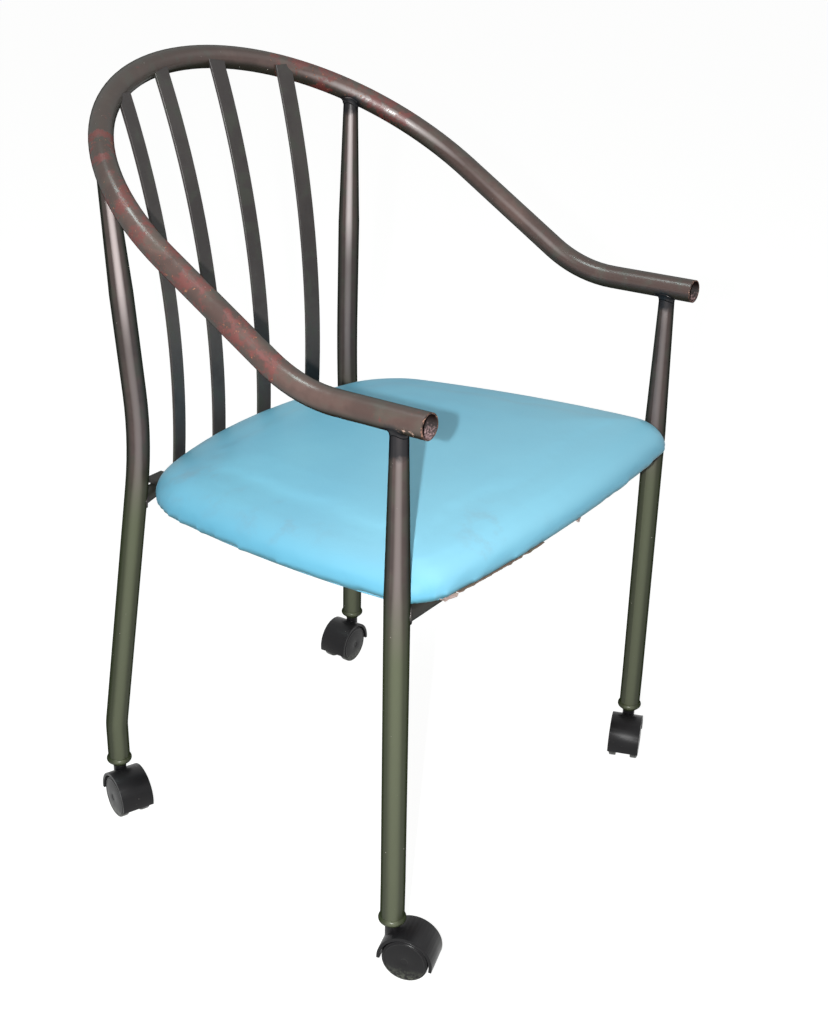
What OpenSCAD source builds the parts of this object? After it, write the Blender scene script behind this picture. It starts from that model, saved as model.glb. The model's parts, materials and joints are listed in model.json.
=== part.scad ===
// Metal armchair on twin-wheel casters.
// One bent tube makes both arms and the top of the back. Four tube legs carry it, four flat
// slats fill the back, and a padded seat lies on two flat bars between a front and a rear rail.
// Frame: +Z up, the sitter faces -Y, and the origin is on the floor in the middle of the chair.
// Left and right are as seen from the front: left is -X.

/* [Tubes] */
// Outer diameter of the leg and arm tube
tube_d = 25.4; // [20:0.2:30]
// Wall of the leg and arm tube
tube_wall = 1.5; // [1:0.1:2.5]
// Outer diameter of a leg's narrow end, under the arm or the hoop
neck_d = 17.6; // [14:0.2:20]
// Gap that the weld metal fills where two steel pieces meet
weld_gap = 0.1; // [0.05:0.05:0.3]

/* [Hoop] */
// Distance between the centre lines of the two arms
hoop_w = 510.6; // [430:0.2:620]
// Place of the open front ends of the arms
arm_front_y = -258; // [-300:1:-245]
// Height of the arms at their open front ends
arm_front_z = 614.8; // [520:0.2:740]
// Place of the bend where the arm starts to rise
arm_bend_y = -112; // [-140:1:-60]
// Height of the arm at that bend
arm_bend_z = 610.3; // [510:0.1:735]
// Bend radius there
arm_bend_r = 150; // [60:1:180]
// Place along the chair where the round back of the hoop starts
hoop_start_y = 50; // [0:1:80]
// Rise of the hoop towards its back, in degrees
hoop_rise = 30.6; // [15:0.1:45]

/* [Front legs] */
// Place of the front feet
front_foot_y = -230; // [-245:1:-180]
// Place of the top of the front legs, under the arm
front_top_y = -225.5; // [-240:0.5:-175]
// Length of a front leg's tapered stretch
front_taper_l = 163; // [60:1:200]
// Bend radius of the slight set above the foot
front_set_r = 300; // [100:10:600]

/* [Rear legs] */
// Half the distance between the rear feet
rear_foot_x = 225.5; // [190:0.5:260]
// Place of the rear feet
rear_foot_y = 196; // [160:1:230]
// Height of the low bend over the top of the leg socket
rear_set_up = 7.5; // [7:0.5:40]
// Bend radius of the low bend
rear_set_r = 90; // [60:5:120]
// Half the distance between the two knees
knee_x = 182; // [150:1:200]
// Place of the knees
knee_y = 174; // [150:1:190]
// Height of the knees
knee_z = 464.5; // [440:0.5:540]
// Bend radius of the knees
knee_r = 538; // [200:1:600]
// Half the distance between the tops of the rear legs
rear_top_x = 201.5; // [170:0.5:215]
// Length of a rear leg's tapered stretch
rear_taper_l = 140; // [60:1:180]

/* [Seat frame] */
// Outer diameter of the front seat rail
front_rail_d = 22.2; // [18:0.2:24]
// Height of the front seat rail's centre
front_rail_z = 416.2; // [360:0.1:480]
// Outer diameter of the bowed rear seat rail
rear_rail_d = 16; // [12:0.5:20]
// Radius of the rear rail's bow
rear_rail_r = 649.6; // [500:0.1:900]
// Rearmost place of the rear rail's centre line
rear_rail_y = 203.6; // [190:0.1:235]
// Tilt of the seat towards the back, in degrees
seat_tilt = 3; // [0:0.1:5]
// Half the distance between the two seat bars
bar_x = 146; // [90:1:155]
// Width of a seat bar
bar_w = 25; // [15:1:40]
// Thickness of a seat bar
bar_t = 5; // [3:0.5:6]

/* [Back slats] */
// Width of a slat
slat_w = 22; // [14:0.5:28]
// Thickness of a slat
slat_t = 3.2; // [2:0.1:5]
// Radius that the slats are curved to, seen from the side
slat_r = 1030; // [800:10:1500]
// Angles of the two slats of one side round the centre of the rear rail's bow
slat_angles = [3.6, 10.7]; // [2:0.1:14]
// Heights at which those slats stand upright
slat_upright_z = [470, 500]; // [440:1:520]

/* [Seat] */
// How far the padding bulges past the inner side of the front legs
seat_tuck = 5; // [0:0.5:10]
// Front edge of the seat at its corners
seat_front_y = -254; // [-262:1:-235]
// Bow of the front edge
seat_front_bow = 15.5; // [0:0.5:25]
// Half the width of the seat at its rear corners
seat_rear_x = 221; // [180:1:230]
// Rear corners of the seat
seat_rear_y = 137; // [110:1:145]
// Bow of the side edges
seat_side_bow = 16; // [0:0.5:25]
// Radius of the front corners
seat_front_r = 35; // [20:1:60]
// Radius of the rear corners
seat_rear_r = 58; // [30:1:80]
// Height of the seat's side
seat_side_h = 35; // [28:1:50]
// Width of the rounding round the top edge
seat_shoulder_w = 53; // [30:1:60]
// Rise of the seat's middle over that rounding
seat_crown = 6; // [2:1:12]
// Thickness of the seat board
board_t = 12; // [9:0.5:18]
// How far the board stays inside the padding's edge
board_inset = 16; // [10:1:25]
// Thickness of the seat cover
cover_t = 1; // [0.8:0.1:1.5]
// Width of the cover's hem under the board
hem_w = 34; // [25:1:45]
// Diameter of the screws that hold the board to the bars
screw_d = 4.8; // [4:0.2:6]
// Places of those screws along a bar, from the front rail
screw_ys = [60, 330]; // [40:1:360]
// Distance between the staples that hold the hem
staple_pitch = 34; // [20:1:60]
// Gap between the soft parts and what they lie against
soft_gap = 0.3; // [0.2:0.1:0.6]

/* [Casters] */
// Diameter of a wheel
wheel_d = 50; // [42:1:60]
// Width of a wheel's tread
tread_w = 8; // [6:0.5:9]
// Width of the whole caster
caster_w = 38; // [34:1:46]
// Distance from the swivel axis to the axle
trail = 19.5; // [17:0.5:24]
// Gap between the wheel and the hood round it
hood_gap = 1.6; // [1:0.1:4]
// Wall of the hood
hood_wall = 3.4; // [2:0.1:4]
// How far the hood reaches below the axle on the trailing side, in degrees
hood_skirt = 12; // [0:1:20]
// How far it reaches below the axle on the leading side, in degrees
hood_lip = 4; // [0:1:15]
// Thickness of the web between the wheels
web_t = 5; // [4:0.5:6]
// Diameter of the boss round the stem
boss_d = 15; // [13:0.5:17]
// How far the boss stands over the hood
boss_up = 0.6; // [0.4:0.1:3]
// Diameter of the swivel stem
stem_d = 10; // [8:0.5:11]
// Diameter of the axle
axle_d = 6; // [4:0.5:8]
// Radial running clearance of the stem and the axle
run_gap = 0.05; // [0.02:0.01:0.08]
// Angles that the four casters have swivelled to: front left, front right, rear left, rear right
yaws = [288, 202, 250, 184]; // [0:1:360]

/* [Leg sockets] */
// Outer diameter of the bead that shows under the leg tube
bead_d = 29.3; // [27:0.1:34]
// Height of the bead
bead_h = 8; // [5:0.5:10]
// Gap between the boss and the dome over it
neck_gap = 0.4; // [0.3:0.1:1]
// Depth of the dome under the bead
dome_h = 4; // [3:0.5:6]
// Length of the socket inside the tube
socket_l = 38; // [30:1:50]

/* [Hidden] */
$fn = 64;

steel_paint = "#5a4a42";
olive_paint = "#565c48";
slat_paint = "#5b5752";
black_plastic = "#2b2b2a";
bright_steel = "silver";
plywood = "burlywood";
foam_yellow = "khaki";
blue_vinyl = "#7dc3e1";

// A little more than nothing, for cutters and thin slices
eps = 0.01;

// Hoop
hoop_r = hoop_w / 2;
hoop_start_z = arm_bend_z + (hoop_start_y - arm_bend_y) * tan(hoop_rise);
function hoop_y(x) = hoop_start_y + sqrt(hoop_r * hoop_r - x * x) * cos(hoop_rise);
function hoop_z(x) = hoop_start_z + sqrt(hoop_r * hoop_r - x * x) * sin(hoop_rise);
function arm_z(y) =
  arm_front_z + (arm_bend_z - arm_front_z) * (y - arm_front_y) / (arm_bend_y - arm_front_y);

// Feet, from the floor up
wheel_r = wheel_d / 2;
hood_r = wheel_r + hood_gap + hood_wall;
boss_top_z = wheel_r + hood_r + boss_up;
dome_z = boss_top_z + neck_gap;
bead_z = dome_z + dome_h;
tube_foot_z = bead_z + bead_h;
socket_top_z = tube_foot_z + socket_l;
tube_in_r = tube_d / 2 - tube_wall;
front_set_z = socket_top_z + 6;
rear_set_z = socket_top_z + rear_set_up;
feet = [
  [-hoop_r, front_foot_y], [hoop_r, front_foot_y],
  [-rear_foot_x, rear_foot_y], [rear_foot_x, rear_foot_y]
];

// Centre lines of the legs, for the right side
front_path = [
  [hoop_r, front_foot_y, tube_foot_z + weld_gap],
  [hoop_r, front_foot_y, front_set_z],
  [hoop_r, front_top_y, arm_z(front_top_y)]
];
front_bends = [0, front_set_r, 0];
rear_path = [
  [rear_foot_x, rear_foot_y, tube_foot_z + weld_gap],
  [rear_foot_x, rear_foot_y, rear_set_z],
  [knee_x, knee_y, knee_z],
  [rear_top_x, hoop_y(rear_top_x), hoop_z(rear_top_x)]
];
rear_bends = [0, rear_set_r, knee_r, 0];
// The legs' centre lines end inside the hoop tube, and the taper ends just under it
neck_l = tube_d / 2 + 2;
function rear_leg_x(z) =
  knee_x + (rear_foot_x - knee_x) * (knee_z - z) / (knee_z - rear_set_z);
// Gap and collar between the stretches of a bent tube
joint_gap = 0.2;
joint_l = 1.2;
joint_proud = 0.03;

// Seat plane: it touches the front rail's top and falls towards the back
front_rail_y =
  front_foot_y + (front_top_y - front_foot_y) * (front_rail_z - front_set_z)
  / (arm_z(front_top_y) - front_set_z);
seat_z = front_rail_z + (front_rail_d / 2 + weld_gap) / cos(seat_tilt);
function seat_plane_z(y) = seat_z - (y - front_rail_y) * tan(seat_tilt);

// Rear rail and slats, round the centre of the rail's bow
bow_y = rear_rail_y - rear_rail_r;
function rail_y(x) = bow_y + sqrt(rear_rail_r * rear_rail_r - x * x);
rear_rail_z = seat_plane_z(rail_y(bar_x - bar_w / 2))
  - (bar_t + rear_rail_d / 2 + weld_gap) / cos(seat_tilt);
// A flat slat's edges stand nearer to the bowed rail than its middle does
slat_foot_r = rear_rail_r - rear_rail_d / 2 - slat_t / 2 - weld_gap
  - slat_w * slat_w / (8 * rear_rail_r);
slat_foot_z = rear_rail_z - 5;
slat_edge = 0.5;
// The slats lean back about this far between the rail and the hoop
slat_lean = 60;
// and end this far over the hoop tube's centre
slat_top_up = 2.5;
// Distance of slat s from the bow's centre where it stands upright
function slat_near_r(s) = slat_foot_r
  - (slat_r - sqrt(slat_r * slat_r - pow(slat_upright_z[s] - rear_rail_z, 2)));
// Sideways place of slat s where it meets the hoop, close enough to place its end
function slat_top_x(s) = sin(slat_angles[s]) * (slat_foot_r + slat_lean);
function slat_top_z(s) = hoop_z(slat_top_x(s)) + slat_top_up;

// Seat padding
seat_front_x = hoop_r - tube_d / 2 + seat_tuck;
slat_front_y = bow_y + (slat_foot_r - slat_t) * cos(slat_angles[0]);
seat_rear_bow = slat_front_y - 3 - seat_rear_y;
edge_steps = 8;
corner_step = 15;
bottom_inset = 4;
bottom_h = 3;
seat_len = seat_rear_y - seat_front_y;
board_z = cover_t + soft_gap;
screw_r = screw_d / 2;
screw_head_r = 4.6;
screw_head_h = 2.2;
screw_bite = 9;
staple_w = 9;
staple_t = 0.6;
staple_l = 7;
// Distance of the staples from the seat's edge
staple_in = board_inset + 6;

// Caster parts
stem_low_z = boss_top_z - 26;
stem_tip_h = 2;
clip_h = 2;
clip_z = socket_top_z - 14;
clip_room = 1.2;
axle_half = caster_w / 2 - 4.6;

// ---- helpers --------------------------------------------------------------------------------

function unit(v) = v / norm(v);
function way(p, i) = unit(p[i + 1] - p[i]);
function turn(a, b) = acos(max(-1, min(1, a * b)));
function is_end(p, i) = i == 0 || i == len(p) - 1;
function setback(p, r, i) = is_end(p, i) ? 0 : r[i] * tan(turn(way(p, i - 1), way(p, i)) / 2);
function mirrored(p) = [for (q = p) [-q[0], q[1], q[2]]];
function square_to(v) = abs(v[2]) < 0.9 ? unit(cross(v, [0, 0, 1])) : unit(cross(v, [0, 1, 0]));

// Puts children in a frame with the given origin and two of its axes
module in_frame(o, x, z) {
  y = cross(z, x);
  multmatrix([
    [x[0], y[0], z[0], o[0]],
    [x[1], y[1], z[1], o[1]],
    [x[2], y[2], z[2], o[2]],
    [0, 0, 0, 1]
  ]) children();
}

module ring_section(d, bore) {
  difference() {
    circle(d = d, $fn = 48);
    circle(d = bore, $fn = 48);
  }
}

// Stretches of a bent tube stop just short of each other, and a thin collar closes each joint
module joint(at, a, d, bore) {
  in_frame(at - a * joint_l / 2, square_to(a), a) linear_extrude(joint_l)
    ring_section(d + 2 * joint_proud, bore - 2 * joint_proud);
}

// One straight stretch of a bent tube, from point i to the next
module straight(p, r, i, d, bore) {
  a = way(p, i);
  from_end = setback(p, r, i) + (is_end(p, i) ? 0 : joint_gap / 2);
  to_end = setback(p, r, i + 1) + (is_end(p, i + 1) ? 0 : joint_gap / 2);
  in_frame(p[i] + a * from_end, square_to(a), a)
    linear_extrude(norm(p[i + 1] - p[i]) - from_end - to_end) ring_section(d, bore);
}

// The bend at point i, with the joints at its two ends
module bend(p, r, i, d, bore) {
  a = way(p, i - 1);
  b = way(p, i);
  m = unit(b - a * (a * b));
  start = p[i] - a * setback(p, r, i);
  short = joint_gap / 2 / r[i] * 180 / PI;
  in_frame(start + m * r[i], -m, cross(a, m)) rotate([0, 0, short])
    rotate_extrude(angle = turn(a, b) - 2 * short, $fn = 128)
      translate([r[i], 0]) ring_section(d, bore);
  joint(start, a, d, bore);
  joint(p[i] + b * setback(p, r, i), b, d, bore);
}

// A round tube bent along the points p, with bend radii r
module bent_tube(p, r, d, bore) {
  for (i = [0 : len(p) - 2]) straight(p, r, i, d, bore);
  for (i = [1 : len(p) - 2]) bend(p, r, i, d, bore);
}

// ---- hoop -----------------------------------------------------------------------------------

function arm_path(s) = [
  [s * hoop_r, arm_front_y, arm_front_z],
  [s * hoop_r, arm_bend_y, arm_bend_z],
  [s * hoop_r, hoop_start_y, hoop_start_z]
];

// Puts children in the plane of the hoop's round back, with its centre at the origin
module in_hoop_plane() {
  translate([0, hoop_start_y, hoop_start_z]) rotate([hoop_rise, 0, 0]) children();
}

module hoop_rail() {
  short = joint_gap / 2 / hoop_r * 180 / PI;
  color(steel_paint) {
    for (s = [-1, 1]) {
      p = arm_path(s);
      bent_tube(p, [0, arm_bend_r, 0], tube_d, 2 * tube_in_r);
      joint(p[2], way(p, 1), tube_d, 2 * tube_in_r);
    }
    in_hoop_plane() rotate([0, 0, short]) rotate_extrude(angle = 180 - 2 * short, $fn = 96)
      translate([hoop_r, 0]) ring_section(tube_d, 2 * tube_in_r);
  }
}

// The hoop's round back with a weld gap round it, to cut what is welded on
module hoop_back_cutter() {
  in_hoop_plane() rotate_extrude(angle = 180, $fn = 96)
    translate([hoop_r, 0]) circle(d = tube_d + 2 * weld_gap, $fn = 64);
}

// ---- legs -----------------------------------------------------------------------------------

// A leg tube: bent, and its last stretch tapers to a narrow neck that ends inside the hoop tube
module leg_tube(p, r, taper_l) {
  last = len(p) - 1;
  a = way(p, last - 1);
  from_bend = setback(p, r, last - 1) + joint_gap / 2;
  l = norm(p[last] - p[last - 1]) - from_bend;
  seam = l - neck_l - taper_l;
  for (i = [0 : last - 2]) straight(p, r, i, tube_d, 2 * tube_in_r);
  for (i = [1 : last - 1]) bend(p, r, i, tube_d, 2 * tube_in_r);
  in_frame(p[last - 1] + a * from_bend, square_to(a), a) rotate_extrude() polygon([
    [tube_in_r, 0], [tube_d / 2, 0], [tube_d / 2, seam], [neck_d / 2, seam + taper_l],
    [neck_d / 2, l], [neck_d / 2 - tube_wall, l], [neck_d / 2 - tube_wall, seam + taper_l],
    [tube_in_r, seam]
  ]);
}

module front_leg(s) {
  arm = arm_path(s);
  color(steel_paint) difference() {
    leg_tube(s < 0 ? mirrored(front_path) : front_path, front_bends, front_taper_l);
    in_frame(arm[0], [1, 0, 0], way(arm, 0))
      cylinder(h = arm_bend_y - arm_front_y, d = tube_d + 2 * weld_gap);
  }
}

module rear_leg(s) {
  color(steel_paint) difference() {
    leg_tube(s < 0 ? mirrored(rear_path) : rear_path, rear_bends, rear_taper_l);
    hoop_back_cutter();
  }
}

// Solid round the straight stretch i of a leg, a gap larger than the tube, to cut what meets it
module leg_cutter(path, s, i, gap) {
  p = s < 0 ? mirrored(path) : path;
  in_frame(p[i], square_to(way(p, i)), way(p, i))
    cylinder(h = norm(p[i + 1] - p[i]), d = tube_d + 2 * gap);
}

// The same round a leg's last stretch, which follows its taper
module tapered_cutter(path, s, taper_l, gap) {
  p = s < 0 ? mirrored(path) : path;
  last = len(p) - 1;
  a = way(p, last - 1);
  l = norm(p[last] - p[last - 1]);
  seam = l - neck_l - taper_l;
  in_frame(p[last - 1], square_to(a), a) rotate_extrude() polygon([
    [0, 0], [tube_d / 2 + gap, 0], [tube_d / 2 + gap, seam],
    [neck_d / 2 + gap, seam + taper_l], [neck_d / 2 + gap, l], [0, l]
  ]);
}

// ---- back slats -----------------------------------------------------------------------------

// Flat bar with slightly broken edges: thickness along X, width along Y
module bar_section(t, w) {
  c = slat_edge;
  polygon([
    [-t / 2 + c, -w / 2], [t / 2 - c, -w / 2], [t / 2, -w / 2 + c], [t / 2, w / 2 - c],
    [t / 2 - c, w / 2], [-t / 2 + c, w / 2], [-t / 2, w / 2 - c], [-t / 2, -w / 2 + c]
  ]);
}

// Slat s (0 inner, 1 outer) on side m: an arc in the upright plane through the bow's centre
module back_slat(s, m) {
  low = asin((slat_upright_z[s] - slat_foot_z) / slat_r);
  high = asin((slat_top_z(s) - slat_upright_z[s]) / slat_r);
  color(slat_paint) difference() {
    translate([0, bow_y, 0]) rotate([0, 0, -m * slat_angles[s]])
      in_frame([0, slat_near_r(s) + slat_r, slat_upright_z[s]], [0, -1, 0], [-1, 0, 0])
        rotate([0, 0, -low]) rotate_extrude(angle = low + high, $fn = 96)
          translate([slat_r, 0]) bar_section(slat_t, slat_w);
    hoop_back_cutter();
  }
}

// ---- seat frame -----------------------------------------------------------------------------

module rear_seat_rail() {
  reach = asin(rear_leg_x(rear_rail_z) / rear_rail_r);
  color(steel_paint) difference() {
    translate([0, bow_y, rear_rail_z]) rotate([0, 0, 90 - reach])
      rotate_extrude(angle = 2 * reach, $fn = 96)
        translate([rear_rail_r, 0]) circle(d = rear_rail_d, $fn = 48);
    for (s = [-1, 1]) leg_cutter(rear_path, s, 1, weld_gap);
  }
}

module front_seat_rail() {
  color(steel_paint) difference() {
    in_frame([-hoop_r, front_rail_y, front_rail_z], [0, 1, 0], [1, 0, 0])
      linear_extrude(hoop_w) ring_section(front_rail_d, front_rail_d - 2 * tube_wall);
    for (s = [-1, 1]) tapered_cutter(front_path, s, front_taper_l, weld_gap);
  }
}

// Puts children on the seat plane, with the origin over the front rail
module on_seat_plane() {
  translate([0, front_rail_y, seat_z]) rotate([-seat_tilt, 0, 0]) children();
}

module seat_bar(s) {
  start = 0.75 * front_rail_d / 2;
  l = (rail_y(bar_x) + rear_rail_d / 2 - front_rail_y) / cos(seat_tilt) - start;
  color(steel_paint) difference() {
    on_seat_plane() translate([s * bar_x - bar_w / 2, start, -bar_t]) cube([bar_w, l, bar_t]);
    in_frame([-hoop_r, front_rail_y, front_rail_z], [0, 1, 0], [1, 0, 0])
      cylinder(h = hoop_w, d = front_rail_d + 2 * weld_gap);
    screw_places(s) translate([0, 0, -bar_t - 1]) cylinder(h = bar_t + 2, r = screw_r + 0.3);
  }
}

module screw_places(s) {
  on_seat_plane() for (y = screw_ys) translate([s * bar_x, y, 0]) children();
}

module seat_screws() {
  color(bright_steel) for (s = [-1, 1]) screw_places(s) {
    translate([0, 0, -bar_t - 0.05]) cylinder(h = bar_t + 0.05 + screw_bite, r = screw_r);
    translate([0, 0, -bar_t - 0.05 - screw_head_h]) cylinder(h = screw_head_h, r = screw_head_r);
  }
}

// ---- seat -----------------------------------------------------------------------------------

// Moves a point of the straight-sided outline out to the bowed one
function bowed(q) =
  let (
    v = (q[1] - seat_front_y) / seat_len,
    w = seat_front_x + (seat_rear_x - seat_front_x) * v,
    u = q[0] / w,
    push = v > 0.5 ? seat_rear_bow * (2 * v - 1) : -seat_front_bow * (1 - 2 * v)
  )
  [q[0] + u * seat_side_bow * 4 * v * (1 - v), q[1] + push * (1 - u * u)];

function mix(a, b, t) = a + (b - a) * t;

// Right half of the outline, from the middle of the front edge to the middle of the rear one
right_half = concat(
  [for (i = [0 : edge_steps - 1])
    [mix(0, seat_front_x - seat_front_r, i / edge_steps), seat_front_y]],
  [for (a = [-90 : corner_step : 0])
    [seat_front_x - seat_front_r + seat_front_r * cos(a),
     seat_front_y + seat_front_r + seat_front_r * sin(a)]],
  [for (i = [1 : edge_steps - 1])
    [mix(seat_front_x, seat_rear_x, i / edge_steps),
     mix(seat_front_y + seat_front_r, seat_rear_y - seat_rear_r, i / edge_steps)]],
  [for (a = [0 : corner_step : 90])
    [seat_rear_x - seat_rear_r + seat_rear_r * cos(a),
     seat_rear_y - seat_rear_r + seat_rear_r * sin(a)]],
  [for (i = [1 : edge_steps])
    [mix(seat_rear_x - seat_rear_r, 0, i / edge_steps), seat_rear_y]]
);
seat_right = [for (q = right_half) bowed(q) - [0, front_rail_y]];
seat_outline = concat(
  seat_right,
  [for (i = [len(seat_right) - 2 : -1 : 1]) [-seat_right[i][0], seat_right[i][1]]]
);

module seat_slice(z, inset) {
  translate([0, 0, z]) linear_extrude(eps) offset(delta = -inset) polygon(seat_outline);
}

// The padding's outer form, or a smaller one inside it
module seat_form(inset) {
  low = inset > 0 ? inset : 0;
  hull() {
    seat_slice(low, inset + bottom_inset);
    seat_slice(max(low, bottom_h), inset);
    for (a = [20 : 20 : 80])
      seat_slice(
        bottom_h + (seat_side_h - inset) * sin(a),
        inset + (seat_shoulder_w - inset) * (1 - cos(a))
      );
    seat_slice(bottom_h + seat_side_h - inset, seat_shoulder_w);
    seat_slice(bottom_h + seat_side_h - inset + seat_crown * 0.65, seat_shoulder_w * 1.5);
    seat_slice(bottom_h + seat_side_h - inset + seat_crown, seat_shoulder_w * 2.2);
  }
}

// Room for the front legs that stand in the corners of the padding
module leg_room(gap) {
  for (s = [-1, 1]) leg_cutter(front_path, s, 1, gap);
}

module seat_board() {
  color(plywood) difference() {
    on_seat_plane() translate([0, 0, board_z]) linear_extrude(board_t)
      offset(delta = -board_inset) polygon(seat_outline);
    for (s = [-1, 1]) screw_places(s) cylinder(h = screw_bite + 0.5, r = screw_r + 0.02);
  }
}

module seat_foam() {
  color(foam_yellow) difference() {
    on_seat_plane() seat_form(cover_t + soft_gap);
    on_seat_plane() linear_extrude(board_z + board_t + soft_gap)
      offset(delta = soft_gap - board_inset) polygon(seat_outline);
    leg_room(cover_t + 2 * soft_gap);
  }
}

module seat_cover() {
  color(blue_vinyl) difference() {
    difference() {
      on_seat_plane() seat_form(0);
      leg_room(soft_gap);
    }
    difference() {
      on_seat_plane() seat_form(cover_t);
      leg_room(soft_gap + cover_t);
    }
    on_seat_plane() translate([0, 0, -1]) linear_extrude(cover_t + 2)
      offset(delta = -hem_w) polygon(seat_outline);
    for (s = [-1, 1]) screw_places(s) translate([0, 0, -1])
      cylinder(h = cover_t + 2, r = screw_r + soft_gap);
  }
}

// One staple: its back lies under the hem and its legs stand in the board
module staple() {
  z = -staple_t - 0.1;
  translate([-staple_w / 2, -0.5, z]) cube([staple_w, 1, staple_t]);
  for (x = [-staple_w / 2, staple_w / 2 - staple_t])
    translate([x, -0.5, z]) cube([staple_t, 1, staple_l]);
}

// Places of a row of staples that stays clear of the seat bars where it crosses them
function row_of(n, y) = [
  for (i = [-n : n]) let (x = i * staple_pitch)
    if (y + staple_w < front_rail_y || abs(abs(x) - bar_x) > bar_w / 2 + staple_w) x
];

// Puts children on the hem at a point of the straight-sided outline, turned by angle a
module on_hem(x, y, a) {
  q = bowed([x, y]);
  on_seat_plane() translate([q[0], q[1] - front_rail_y, 0]) rotate([0, 0, a]) children();
}

module seat_staples() {
  front_n = floor((seat_front_x - 2 * staple_in) / staple_pitch);
  rear_n = floor((seat_rear_x - seat_rear_r) / staple_pitch);
  front_y = seat_front_y + staple_in;
  rear_y = seat_rear_y - staple_in;
  side_y = front_rail_y + front_rail_d + staple_w;
  side_n = floor((seat_rear_y - seat_rear_r - staple_w - side_y) / staple_pitch);
  color(bright_steel) {
    for (x = row_of(front_n, front_y)) on_hem(x, front_y, 0) staple();
    for (x = row_of(rear_n, rear_y)) on_hem(x, rear_y, 0) staple();
    for (s = [-1, 1], i = [0 : side_n]) {
      y = side_y + i * staple_pitch;
      v = (y - seat_front_y) / seat_len;
      on_hem(s * (mix(seat_front_x, seat_rear_x, v) - staple_in), y, 90) staple();
    }
  }
}

// ---- casters --------------------------------------------------------------------------------

// Puts children at foot i, with the trail along X
module at_foot(i) {
  translate([feet[i][0], feet[i][1], 0]) rotate([0, 0, yaws[i]]) children();
}

module at_axle(i) {
  at_foot(i) translate([trail, 0, wheel_r]) rotate([-90, 0, 0]) children();
}

module leg_socket(i) {
  neck_r = boss_d / 2 + neck_gap;
  rim_r = tube_d / 2;
  // A sphere through the dome's two rings
  drop = (rim_r * rim_r - neck_r * neck_r) / (2 * (dome_h + 2)) + (dome_h + 2) / 2;
  ball_r = sqrt(neck_r * neck_r + drop * drop);
  color(olive_paint) translate([feet[i][0], feet[i][1], 0]) difference() {
    union() {
      translate([0, 0, bead_z + bead_h / 2]) rotate_extrude()
        translate([bead_d / 2 - bead_h / 2, 0]) circle(d = bead_h);
      translate([0, 0, bead_z]) cylinder(h = bead_h, r = bead_d / 2 - bead_h / 2);
      intersection() {
        translate([0, 0, dome_z + drop]) sphere(r = ball_r);
        translate([0, 0, dome_z]) cylinder(h = dome_h + 2, r = rim_r + 4);
      }
      translate([0, 0, tube_foot_z - 1])
        cylinder(h = socket_l + 1, r = tube_in_r - 0.1);
    }
    translate([0, 0, dome_z - 1])
      cylinder(h = socket_top_z - dome_z + 2, r = stem_d / 2 + run_gap);
    translate([0, 0, clip_z - clip_room])
      cylinder(h = clip_h + 2 * clip_room, r = stem_d / 2 + clip_room + 0.1);
  }
}

module caster_stem(i) {
  top_z = socket_top_z - stem_tip_h - 3;
  color(bright_steel) at_foot(i) difference() {
    union() {
      translate([0, 0, stem_low_z]) cylinder(h = top_z - stem_low_z, r = stem_d / 2);
      translate([0, 0, top_z])
        cylinder(h = stem_tip_h, r1 = stem_d / 2, r2 = stem_d / 2 - 1.5);
    }
    translate([0, 0, clip_z - 0.1]) difference() {
      cylinder(h = clip_h + 0.2, r = stem_d);
      translate([0, 0, -1]) cylinder(h = clip_h + 3, r = stem_d / 2 - 0.8);
    }
  }
}

module stem_clip(i) {
  color(bright_steel) at_foot(i) translate([0, 0, clip_z])
    rotate([0, 0, 25]) rotate_extrude(angle = 310)
      translate([stem_d / 2 - 0.7, 0]) square([1.7, clip_h]);
}

module caster_hood(i) {
  inner_r = hood_r - hood_wall;
  boss_r = axle_d / 2 + 4;
  color(black_plastic) difference() {
    union() {
      at_axle(i) rotate([0, 0, -180 - hood_lip])
        rotate_extrude(angle = 180 + hood_skirt + hood_lip, $fn = 128)
        translate([inner_r, -caster_w / 2]) square([hood_wall, caster_w]);
      at_axle(i) translate([0, 0, -web_t / 2]) intersection() {
        cylinder(h = web_t, r = inner_r + hood_wall / 2);
        translate([-hood_r, -hood_r, -1]) cube([2 * hood_r, hood_r + boss_r, web_t + 2]);
      }
      at_foot(i) translate([0, 0, stem_low_z - 3]) cylinder(h = boss_top_z - stem_low_z + 3,
        r = boss_d / 2);
    }
    at_foot(i) translate([0, 0, stem_low_z - 0.1]) cylinder(h = 60, r = stem_d / 2 + 0.02);
    at_axle(i) translate([0, 0, -caster_w]) cylinder(h = 2 * caster_w, r = axle_d / 2 + 0.02);
  }
}

module caster_axle(i) {
  color(bright_steel) at_axle(i) translate([0, 0, -axle_half])
    cylinder(h = 2 * axle_half, r = axle_d / 2);
}

// Half section of a wheel, as radius and distance from the caster's middle
module wheel_section() {
  face = caster_w / 2 - 0.1;
  rim = face - 1.6;
  hub_r = axle_d / 2 + 6;
  hub_in = web_t / 2 + 0.5;
  polygon([
    [0, axle_half + 0.4], [axle_d / 2 + run_gap, axle_half + 0.4],
    [axle_d / 2 + run_gap, hub_in], [hub_r, hub_in],
    [hub_r, rim - tread_w + 1], [wheel_r - 1, rim - tread_w],
    [wheel_r, rim - tread_w + 1], [wheel_r, rim - 1],
    [wheel_r - 1, rim], [wheel_r - 3.5, face - 0.7], [wheel_r - 6, face - 0.3],
    [0, face]
  ]);
}

module wheel(i, s) {
  color(black_plastic) at_axle(i) rotate([s > 0 ? 0 : 180, 0, 0])
    rotate_extrude($fn = 96) wheel_section();
}

// ---- pieces ---------------------------------------------------------------------------------

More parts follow.
